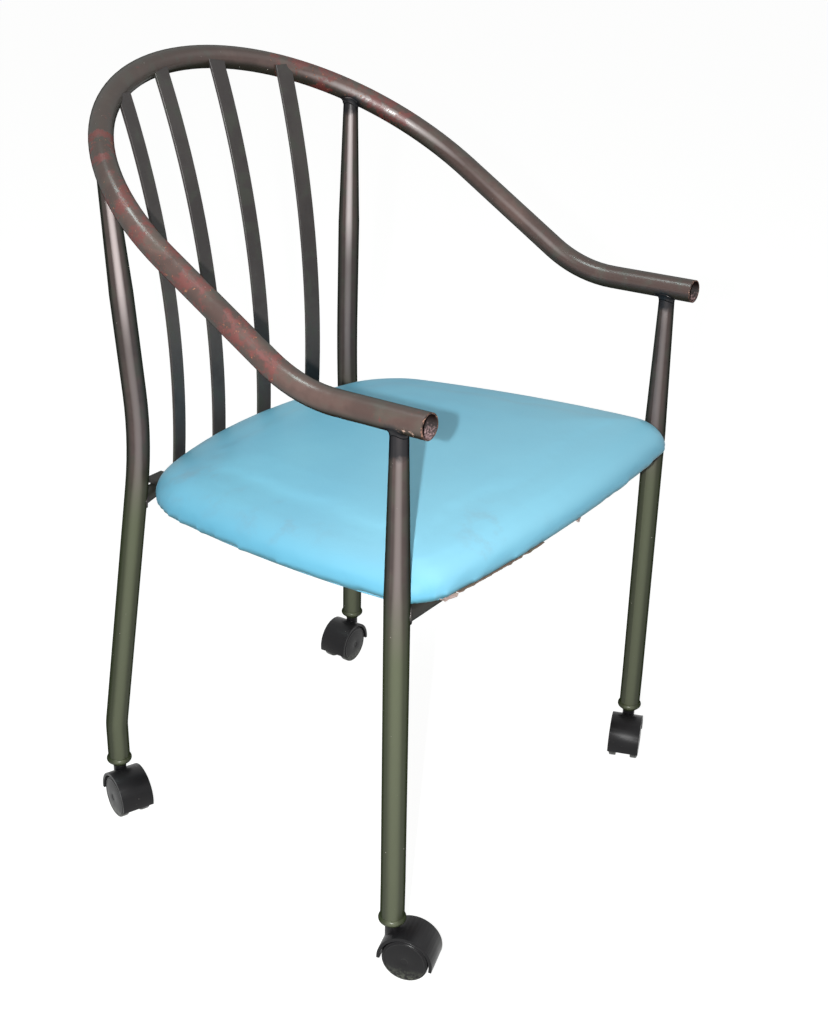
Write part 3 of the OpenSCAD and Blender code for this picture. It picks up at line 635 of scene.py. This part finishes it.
def ring_fillet(bm, host, centre, along, radius, reach, steps=72):
    """Smooth weld round a round section of that radius where it runs into the host."""
    side, other = across(along)
    rows = []
    for i in range(steps):
        angle = 2 * math.pi * i / steps
        out = side * math.cos(angle) + other * math.sin(angle)
        hit = host.ray_cast(centre + out * radius - along * PROBE_BACK, along, PROBE_REACH)[0]
        if hit is None:
            raise RuntimeError("a leg's top does not meet the hoop")
        size = reach * (1 + 0.16 * noise.noise(hit * 260) + 0.03 * math.sin(i * 1.9))
        spot, normal, _, _ = host.find_nearest(hit + out * size * 0.75 + along * size * 0.5)
        rows.append(fillet_section(hit - along * size + out * 0.0001, hit + out * 0.0002,
                                   spot + normal * 0.0001, hit + along * 0.0007 - out * 0.0007))
    quads(bm, [[bm.verts.new(p) for p in row] for row in rows], True, True)


def end_of(node, side):
    """Middle of a rail's end on that side and its way outward."""
    points = [v.co for v in NODES[node].data.vertices]
    far = max(p.x * side for p in points)
    rings = [[p for p in points if low < far - p.x * side < high]
             for low, high in ((0.0, 0.012), (0.02, 0.06))]
    if not rings[1]:
        rings[1] = [p for p in points if far - p.x * side > 0.02]
    outer, inner = [sum(ring, Vector()) / len(ring) for ring in rings]
    return outer, (outer - inner).normalized()


# ---- seat ----

def prism(ring, low, high, fall, plane):
    """A closed block over a flat outline, between two heights over the sloping seat plane."""
    bm = bmesh.new()
    rows = [[bm.verts.new((p.x, p.y, plane - p.y * fall + h)) for p in ring] for h in (low, high)]
    bm.faces.new(rows[0][::-1])
    bm.faces.new(rows[1])
    quads(bm, rows, True, False)
    return new_object("board_room", bm, smooth=False)


def pad_blank(material, fall, plane):
    """The seat's outer form, with the board's room cut out of its underside."""
    bm = bmesh.new()
    for v in NODES["seat_cover"].data.vertices:
        bm.verts.new(v.co)
    hull = bmesh.ops.convex_hull(bm, input=bm.verts)
    spare = [v for v in set(hull["geom_interior"]) | set(hull["geom_unused"])
             if isinstance(v, bmesh.types.BMVert)]
    bmesh.ops.delete(bm, geom=spare, context="VERTS")
    bmesh.ops.recalc_face_normals(bm, faces=bm.faces)
    form = BVHTree.FromBMesh(bm)
    pad = new_object("seat_pad", bm, material)
    board = hull_outline([v.co[:2] for v in NODES["seat_board"].data.vertices])
    ring, normals = even_outline(board, 160)
    room = [p + n * BOARD_ROOM for p, n in zip(ring, normals)]
    top = max(v.co.z + v.co.y * fall for v in NODES["seat_board"].data.vertices) - plane + BOARD_ROOM
    cutter = prism(room, -0.01, top, fall, plane)
    modify(pad, "board", "BOOLEAN", object=cutter, operation="DIFFERENCE", solver="EXACT")
    modify(pad, "voxels", "REMESH", mode="VOXEL", voxel_size=bpy.context.scene.chair_seat.voxel)
    apply_modifiers(pad)
    bpy.data.objects.remove(cutter)
    return pad, form


def keep_to_form(pad, form, free_height, fall, plane):
    """Fills the pad's sides out past the form it was cut from and holds its top near to it."""
    bulge = bpy.context.scene.chair_seat.bulge
    for v in pad.data.vertices:
        height = v.co.z + v.co.y * fall - plane
        spot, normal, _, _ = form.find_nearest(v.co, 0.009)
        if height < free_height or spot is None:
            continue
        out = (v.co - spot).dot(normal)
        least = bulge * smooth_step(0.050, 0.012, height) * smooth_step(-0.001, 0.002, height)
        v.co += normal * (min(max(out, least), least + 0.0012) - out)


def settle(pad, board):
    """Evens out the pad's outside, so that the cover lies in one soft curve."""
    bm = bmesh.new()
    bm.from_mesh(pad.data)
    loose = [v for v in bm.verts if board.find_nearest(v.co, BOARD_HOLD)[0] is None]
    for _ in range(SMOOTHINGS):
        bmesh.ops.smooth_vert(bm, verts=loose, factor=0.5, use_axis_x=True, use_axis_y=True,
                              use_axis_z=True)
    bm.to_mesh(pad.data)
    bm.free()


def blow_up(pad, free):
    """Presses the padding out with a short cloth run; only the vertices in free may move."""
    seat = bpy.context.scene.chair_seat
    held = pad.vertex_groups.new(name="held")
    held.add([i for i in range(len(pad.data.vertices)) if i not in free], 1.0, "REPLACE")
    start = [v.co.copy() for v in pad.data.vertices]
    cloth = modify(pad, "padding", "CLOTH").settings
    set_all(cloth, quality=5, mass=0.3, tension_stiffness=15, compression_stiffness=15,
            bending_stiffness=2.0, use_pressure=True, uniform_pressure_force=seat.pressure,
            vertex_group_mass="held")
    cloth.effector_weights.gravity = 0.0
    scene = bpy.context.scene
    for step in range(1, CLOTH_FRAMES + 1):
        scene.frame_set(step)
    graph = bpy.context.evaluated_depsgraph_get()
    shape = pad.evaluated_get(graph).to_mesh()
    moved = [v.co.copy() for v in shape.vertices]
    pad.evaluated_get(graph).to_mesh_clear()
    pad.modifiers.clear()
    scene.frame_set(1)
    for v, a, b in zip(pad.data.vertices, start, moved):
        shift = b - a
        v.co = a + shift * min(1.0, seat.swell / max(shift.length, 1e-9))
    pad.vertex_groups.clear()


def stay_clear(pad, neighbours, gap):
    """Moves the pad's vertices out of its neighbours."""
    shapes = [shape_of(node) for node in neighbours]
    for v in pad.data.vertices:
        for shape in shapes:
            spot, normal, _, distance = shape.find_nearest(v.co, 0.02)
            if spot is not None and ((v.co - spot).dot(normal) < 0 or distance < gap):
                v.co = spot + normal * gap


def make_pad(material):
    seat = bpy.context.scene.chair_seat
    fall, plane = seat_plane()
    pad, form = pad_blank(material, fall, plane)
    board = shape_of("seat_board")
    free = {v.index for v in pad.data.vertices if v.co.z + v.co.y * fall - plane > PRESSED_FROM
            and board.find_nearest(v.co, BOARD_HOLD)[0] is None}
    blow_up(pad, free)
    for v in pad.data.vertices:
        # Shallow hollows where the foam has tired, and a faint waviness of the stretched cover
        height = v.co.z + v.co.y * fall - plane
        top = smooth_step(0.020, 0.040, height)
        wave = noise.noise(v.co * 9.0) * 0.0011 + noise.noise(v.co * 27.0) * 0.0003
        v.co.z += top * wave
    modify(pad, "smooth", "SUBSURF", levels=1, render_levels=1)
    apply_modifiers(pad)
    keep_to_form(pad, form, 0.0016, fall, plane)
    settle(pad, board)
    stay_clear(pad, ("front_leg_left", "front_leg_right") + SLATS, seat.leg_gap)
    for v in pad.data.vertices:
        v.co.z = max(v.co.z, plane - v.co.y * fall + RIM_LIFT)
    pad.data.shade_smooth()
    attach(pad, "frame")
    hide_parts("seat_foam", "seat_cover")


def make_hem(material):
    """The cover's hem, turned under the board: ragged inside, pleated at the rear corners."""
    seat = bpy.context.scene.chair_seat
    fall, plane = seat_plane()
    ring, normals = seat_outline(420)
    rows = 7
    bm = bmesh.new()
    grid = []
    for i, (p, n) in enumerate(zip(ring, normals)):
        fray = noise.noise(Vector((i * 0.31, 0.0, 4.0))) * 0.004
        corner = smooth_step(0.60, 0.95, abs(n.x * n.y) * 2) * (1.0 if p.y > 0 else 0.0)
        line = []
        for k in range(rows):
            inset = 0.0030 + (seat.hem_w + fray - 0.0030) * k / (rows - 1)
            spot = p - n * inset
            pleat = corner * abs(math.sin(i * 0.55)) * 0.0012 * (k / (rows - 1))
            line.append(bm.verts.new((spot.x, spot.y, plane - spot.y * fall + 0.0002 - pleat)))
        grid.append(line)
    quads(bm, grid, False, True)
    bmesh.ops.recalc_face_normals(bm, faces=bm.faces)
    for face in bm.faces:
        if face.normal.z > 0:
            face.normal_flip()
    hem = new_object("seat_hem", bm, material)
    modify(hem, "thick", "SOLIDIFY", thickness=0.0007, offset=-1.0)
    apply_modifiers(hem)
    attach(hem, "frame")


def front_edge(x, ring):
    """Place of the seat's front edge at x."""
    front = [p for p in ring if p.y < -0.15]
    return min(front, key=lambda p: abs(p.x - x)).y


def ragged_strip(name, x_from, x_to, drop, material, seed):
    """A torn strip that hangs from under the seat's front edge."""
    fall, plane = seat_plane()
    ring, _ = seat_outline(900)
    bm = bmesh.new()
    count = max(6, int((x_to - x_from) / 0.0012))
    grid = []
    for i in range(count + 1):
        t = i / count
        x = x_from + (x_to - x_from) * t
        y = front_edge(x, ring)
        ends = smooth_step(0.0, 0.12, t) * smooth_step(1.0, 0.88, t)
        rag = 0.45 + 0.55 * abs(noise.noise(Vector((x * 160, seed, 0.0)))) * 1.8
        fringe = noise.noise(Vector((x * 900, seed, 3.0))) * 0.25
        hang = drop * ends * max(0.15, rag + fringe)
        curl = noise.noise(Vector((x * 120, seed, 7.0))) * 0.0022
        line = []
        for k in range(5):
            s = k / 4
            out = 0.0052 * (1 - s) - (0.0008 + curl) * s
            line.append(bm.verts.new((x + curl * s * 0.6, y + out + 0.0006,
                                      plane - y * fall + 0.0004 - hang * s)))
        grid.append(line)
    quads(bm, grid[::-1], False, False)
    strip = new_object(name, bm, material)
    modify(strip, "thick", "SOLIDIFY", thickness=0.0008, offset=0.0)
    apply_modifiers(strip)
    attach(strip, "frame")


# ---- casters ----

def lathe(name, centre, axis, profile, steps, material):
    """Turns a closed profile of (radius, distance along the axis) round the axis."""
    first = UP if abs(axis.z) < 0.9 else Vector((1, 0, 0))
    second = axis.cross(first).normalized()
    bm = bmesh.new()
    rings = []
    for radius, along in profile:
        base = centre + axis * along
        if radius < 1e-6:
            rings.append([bm.verts.new(base)])
            continue
        rings.append([bm.verts.new(base + (first * math.cos(a) + second * math.sin(a)) * radius)
                      for a in (2 * math.pi * i / steps for i in range(steps))])
    for low, high in zip(rings, rings[1:]):
        for i in range(steps):
            # A ring on the axis is one point, so its faces have three corners
            corners = [ring[k % len(ring)]
                       for ring, k in ((low, i), (high, i), (high, i + 1), (low, i + 1))]
            bm.faces.new(list(dict.fromkeys(corners)))
    bmesh.ops.recalc_face_normals(bm, faces=bm.faces)
    return new_object(name, bm, material)


def wheel_profile(r, f):
    """Half section of a wheel from its bore round the tread to the middle of its outer disc, in
    millimetres, from its radius r and the place f of its outer face."""
    inner = f - 9.6
    bore = [(3.05, f - 5.9), (3.05, 3.0), (9.0, 3.0), (9.4, 3.3), (10.2, inner + 0.6)]
    rim = [(3.0, 0), (1.1, 0), (0.25, 0), (0.3, 0.3), (0, 1.1), (0, 6.8), (0.25, 7.6), (0.9, 8.05),
           (1.5, 8.15), (1.75, 8.0), (2.0, 8.15), (2.3, 8.85)]
    disc = [(2.8, 0.62), (3.5, 0.62), (3.9, 0.95), (4.3, 0.9), (7.0, 0.45), (13.0, 0.12)]
    hub = [(4.6, 0), (4.1, 0.1), (3.7, 0.45), (3.1, 0.5), (0.0, 0.4)]
    points = (bore + [(r - a, inner + b) for a, b in rim] + [(r - a, f - b) for a, b in disc]
              + [(a, f - b) for a, b in hub])
    return [(a / 1000, b / 1000) for a, b in points]


def make_wheels(material):
    steps = bpy.context.scene.chair_casters.steps
    for foot in FEET:
        for letter, way in (("a", 1), ("b", -1)):
            node = f"wheel_{letter}_{foot}"
            joint = JOINTS[f"wheel_{letter}_{foot}_roll"]
            axis = Vector(joint["axis"]).normalized() * way
            centre = Vector(joint["pos_m"])
            low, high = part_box(node)
            face = max((v.co - centre).dot(axis) for v in NODES[node].data.vertices)
            profile = wheel_profile((high[2] - low[2]) / 2 * 1000, face * 1000)
            wheel = lathe(f"wheel_disc_{letter}_{foot}", centre, axis, profile, steps, material)
            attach(wheel, node)
            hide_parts(node)


def make_hoods(material):
    """Hoods with their moulded edges rounded."""
    for foot in FEET:
        node = f"caster_hood_{foot}"
        bm = merged_copy(node)
        bmesh.ops.dissolve_limit(bm, angle_limit=math.radians(1.0), verts=bm.verts, edges=bm.edges)
        hood = new_object(f"hood_shell_{foot}", bm, material)
        modify(hood, "edge", "BEVEL", width=bpy.context.scene.chair_casters.edge, segments=3,
               limit_method="ANGLE", angle_limit=math.radians(40), use_clamp_overlap=True,
               harden_normals=True)
        apply_modifiers(hood)
        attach(hood, f"caster_{foot}")
        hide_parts(node)


# ---- stage ----

def make_camera():
    stage = bpy.context.scene.chair_stage
    place = Vector(stage.camera_at)
    back = (place - Vector(stage.target)).normalized()
    right = UP.cross(back).normalized()
    up = back.cross(right)
    turn = stage.roll
    level = right * math.cos(turn) + up * math.sin(turn)
    above = up * math.cos(turn) - right * math.sin(turn)
    lens = bpy.data.cameras.new("camera")
    set_all(lens, lens=stage.lens, sensor_width=36, clip_end=300)
    camera = bpy.data.objects.new("camera", lens)
    bpy.context.collection.objects.link(camera)
    camera.matrix_world = Matrix((
        (level.x, above.x, back.x, place.x), (level.y, above.y, back.y, place.y),
        (level.z, above.z, back.z, place.z), (0, 0, 0, 1)))
    bpy.context.scene.camera = camera


def make_lamp(name, place, target, size, power, colour="#FFFFFF"):
    lamp = bpy.data.lights.new(name, "AREA")
    set_all(lamp, shape="DISK", size=size, energy=power, color=linear(colour)[:3])
    made = bpy.data.objects.new(name, lamp)
    bpy.context.collection.objects.link(made)
    made.location = place
    made.rotation_euler = (Vector(target) - Vector(place)).to_track_quat("-Z", "Y").to_euler()


def seen(tree):
    """1 where a thing is seen, straight, mirrored or through glass, and 0 for the light it gives."""
    path = tree.add("ShaderNodeLightPath").outputs
    return tree("most", tree("most", path["Is Camera Ray"], path["Is Glossy Ray"]),
                path["Is Transmission Ray"])


def make_floor():
    bm = bmesh.new()
    reach = 80.0
    for x, y in ((-reach, -reach), (reach, -reach), (reach, reach), (-reach, reach)):
        bm.verts.new((x, y, -0.0002))
    bm.faces.new(bm.verts)
    made, tree, shader = start_material("pale_floor")
    tree.fill(shader, {
        "Base Color": bpy.context.scene.chair_stage.floor, "Roughness": 1.0,
        "Specular IOR Level": 0.0, "Emission Color": (1, 1, 1, 1),
        "Emission Strength": tree("times", seen(tree), 0.93)})
    new_object("floor", bm, made, smooth=False)


def make_world():
    world = bpy.data.worlds.new("world")
    world.use_nodes = True
    bpy.context.scene.world = world
    tree = Nodes(world.node_tree)
    level = tree.add("ShaderNodeMapRange", {"Value": seen(tree), "To Min": 0.18, "To Max": 1.0})
    tree.fill(world.node_tree.nodes["Background"], {
        "Color": (1, 1, 1, 1), "Strength": level.outputs["Result"]})


# ---- operators ----

class CHAIR_OT_tubes(bpy.types.Operator):
    """Paint the hoop, legs, slats, rails and sockets"""
    bl_idname = "chair.tubes"
    bl_label = "Tubes and bars"

    def execute(self, context):
        tubes = context.scene.chair_tubes
        tops = [top_of_leg(node)[0] for node in LEGS]
        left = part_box("hoop_rail")[0][0] + tubes.tube_d / 2
        under_arm = 0.008
        patches = [Vector(p) for p in (
            (-0.212, 0.176, 0.781), (-0.245, 0.115, 0.745), (-0.252, 0.085, 0.715),
            (-0.258, 0.050, 0.698), (-0.262, 0.020, 0.682), (-0.251, 0.000, 0.688),
            (-0.259, -0.040, 0.652), (-0.259, -0.075, 0.628), (0.140, 0.228, 0.820),
            (0.176, 0.202, 0.806), (0.206, 0.172, 0.788), (0.230, 0.140, 0.766))]
        end = Vector(MOUNTS["arm_bore_left"]["pos_m"])
        chips = [Vector((left - 0.011, end.y + d, end.z - under_arm)) for d in (0.012, 0.019, 0.026)]
        # The front left leg's top is burnt black for some way, the others only at the weld
        # The third colour of each enamel is painted shade, and its highlight colour is painted highlight
        hoop = worn_enamel("bronze_enamel_hoop", tubes.brown, tubes.tan, "#2E2F28", rusty=patches,
                           chipped=chips, burnt=((tops, 0.006),), rust_level=0.655, open_at=end,
                           gloss=0.30, polish=0.75)
        leg = worn_enamel("bronze_enamel_leg", tubes.bronze, tubes.mauve, "#2A2F29",
                          burnt=((tops[:1], 0.013), (tops[1:], 0.004)), olive_from=tubes.olive_from,
                          rust_level=0.80, gloss=0.30, painted_highlight="#C9BBB9", upright=True)
        slat = worn_enamel("slate_enamel", tubes.slate, "#443F3D", "#2C2D2B", rust_level=0.84,
                           ding_level=0.84, gloss=0.42, painted_light_strength=0.25, painted_highlight="#4A4543")
        rail = worn_enamel("dark_enamel", "#2E2B28", "#3E3A35", "#1F221D", rust_level=0.70, gloss=0.4)
        dress(hoop, "hoop_rail")
        dress(leg, *LEGS, *each_foot("leg_socket"))
        dress(slat, *SLATS)
        dress(rail, "rear_seat_rail", "front_seat_rail", "seat_bar_left", "seat_bar_right")
        return {"FINISHED"}


class CHAIR_OT_welds(bpy.types.Operator):
    """Lay the welds where the legs meet the hoop and the rails meet the legs"""
    bl_idname = "chair.welds"
    bl_label = "Welds"

    def execute(self, context):
        tubes = context.scene.chair_tubes
        hoop = shape_of("hoop_rail")
        # Its third colour is painted shade and its highlight colour painted highlight
        burnt = worn_enamel("burnt_enamel", "#35302F", "#4A4342", "#202425", rust_level=0.74,
                            painted_highlight="#554C4A")
        bm = bmesh.new()
        for node in LEGS:
            centre, along = top_of_leg(node)
            ring_fillet(bm, hoop, centre, along, tubes.neck_d / 2, tubes.fillet)
        bmesh.ops.recalc_face_normals(bm, faces=bm.faces)
        welds = new_object("leg_welds", bm, NODES[LEGS[0]].data.materials[0])
        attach(welds, "frame")
        # The rails' ends are welded to the legs with a plain bead
        lines = []
        for rail, legs, radius in (("front_seat_rail", LEGS[:2], tubes.front_rail_d / 2),
                                   ("rear_seat_rail", LEGS[2:], tubes.rear_rail_d / 2)):
            for side, leg in zip((-1, 1), legs):
                centre, along = end_of(rail, side)
                section = circle(radius + 0.0003)
                hits = meeting_line(shape_of(leg), centre, along, section)
                if len(hits) < 4:
                    raise RuntimeError(f"{rail} does not meet {leg}")
                lines.append((hits, len(hits) == len(section)))
        bead_object("rail_welds", lines, burnt)
        return {"FINISHED"}


class CHAIR_OT_seat(bpy.types.Operator):
    """Make the padded seat, its hem, the torn front edge and what is under them"""
    bl_idname = "chair.seat"
    bl_label = "Seat"

    def execute(self, context):
        seat = context.scene.chair_seat
        vinyl = coated_cloth("coated_cloth_blue", seat.vinyl, seat.dirt)
        lining = frayed_lining("frayed_lining", seat.lining)
        make_pad(vinyl)
        make_hem(vinyl)
        ragged_strip("torn_lining", -0.222, -0.202, 0.0042, lining, 1.0)
        ragged_strip("torn_edge", -0.200, -0.060, 0.0008, frayed_lining("dark_lining", "#5B5348"), 5.0)
        ragged_strip("torn_tab", 0.004, 0.014, 0.0034, lining, 9.0)
        dress(plain_steel("zinc_plated_steel"), "seat_screws", "seat_staples",
              *each_foot("caster_stem", "stem_clip", "caster_axle"))
        dress(raw_plywood("raw_plywood"), "seat_board")
        return {"FINISHED"}


class CHAIR_OT_casters(bpy.types.Operator):
    """Make the hoods and wheels of the casters"""
    bl_idname = "chair.casters"
    bl_label = "Casters"

    def execute(self, context):
        casters = context.scene.chair_casters
        make_hoods(moulded_black("moulded_nylon_hood", casters.black, casters.dust, 0.012))
        make_wheels(moulded_black("moulded_nylon_wheel", casters.black, casters.dust, 0.020))
        return {"FINISHED"}


class CHAIR_OT_stage(bpy.types.Operator):
    """Set the camera, the floor, the world and the lamps"""
    bl_idname = "chair.stage"
    bl_label = "Stage"

    def execute(self, context):
        make_camera()
        make_floor()
        make_world()
        aim = (0.0, 0.0, 0.45)
        # A small flash beside the camera, as a portrait-held camera has it, and soft room light
        camera = context.scene.camera.matrix_world
        beside = camera.translation - camera.to_3x3().col[0] * 0.075
        make_lamp("flash", beside, aim, 0.022, 29.0)
        make_lamp("window", (-0.5, 0.5, 2.6), aim, 0.5, 13.0, "#DDF2F0")
        make_lamp("room", (1.4, -1.6, 2.2), aim, 2.0, 5.0)
        context.scene.view_settings.view_transform = "Standard"
        return {"FINISHED"}


class CHAIR_PT_panel(bpy.types.Panel):
    """The armchair's makers, in order"""
    bl_idname = "CHAIR_PT_panel"
    bl_label = "Armchair"
    bl_space_type = "VIEW_3D"
    bl_region_type = "UI"
    bl_category = "Armchair"

    def draw(self, context):
        for operator in OPERATORS:
            self.layout.operator(operator.bl_idname)


SETTINGS = {
    "chair_tubes": TubeSettings,
    "chair_seat": SeatSettings,
    "chair_casters": CasterSettings,
    "chair_stage": StageSettings,
}
OPERATORS = (CHAIR_OT_stage, CHAIR_OT_tubes, CHAIR_OT_welds, CHAIR_OT_seat, CHAIR_OT_casters)
CLASSES = tuple(SETTINGS.values()) + OPERATORS + (CHAIR_PT_panel,)


def register():
    for cls in CLASSES:
        bpy.utils.register_class(cls)
    for name, group in SETTINGS.items():
        setattr(bpy.types.Scene, name, PointerProperty(type=group))


def unregister():
    for name in SETTINGS:
        delattr(bpy.types.Scene, name)
    for cls in reversed(CLASSES):
        bpy.utils.unregister_class(cls)


def main():
    register()
    for operator in OPERATORS:
        group, name = operator.bl_idname.split(".")
        getattr(getattr(bpy.ops, group), name)()
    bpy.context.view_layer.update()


if __name__ == "__main__":
    main()
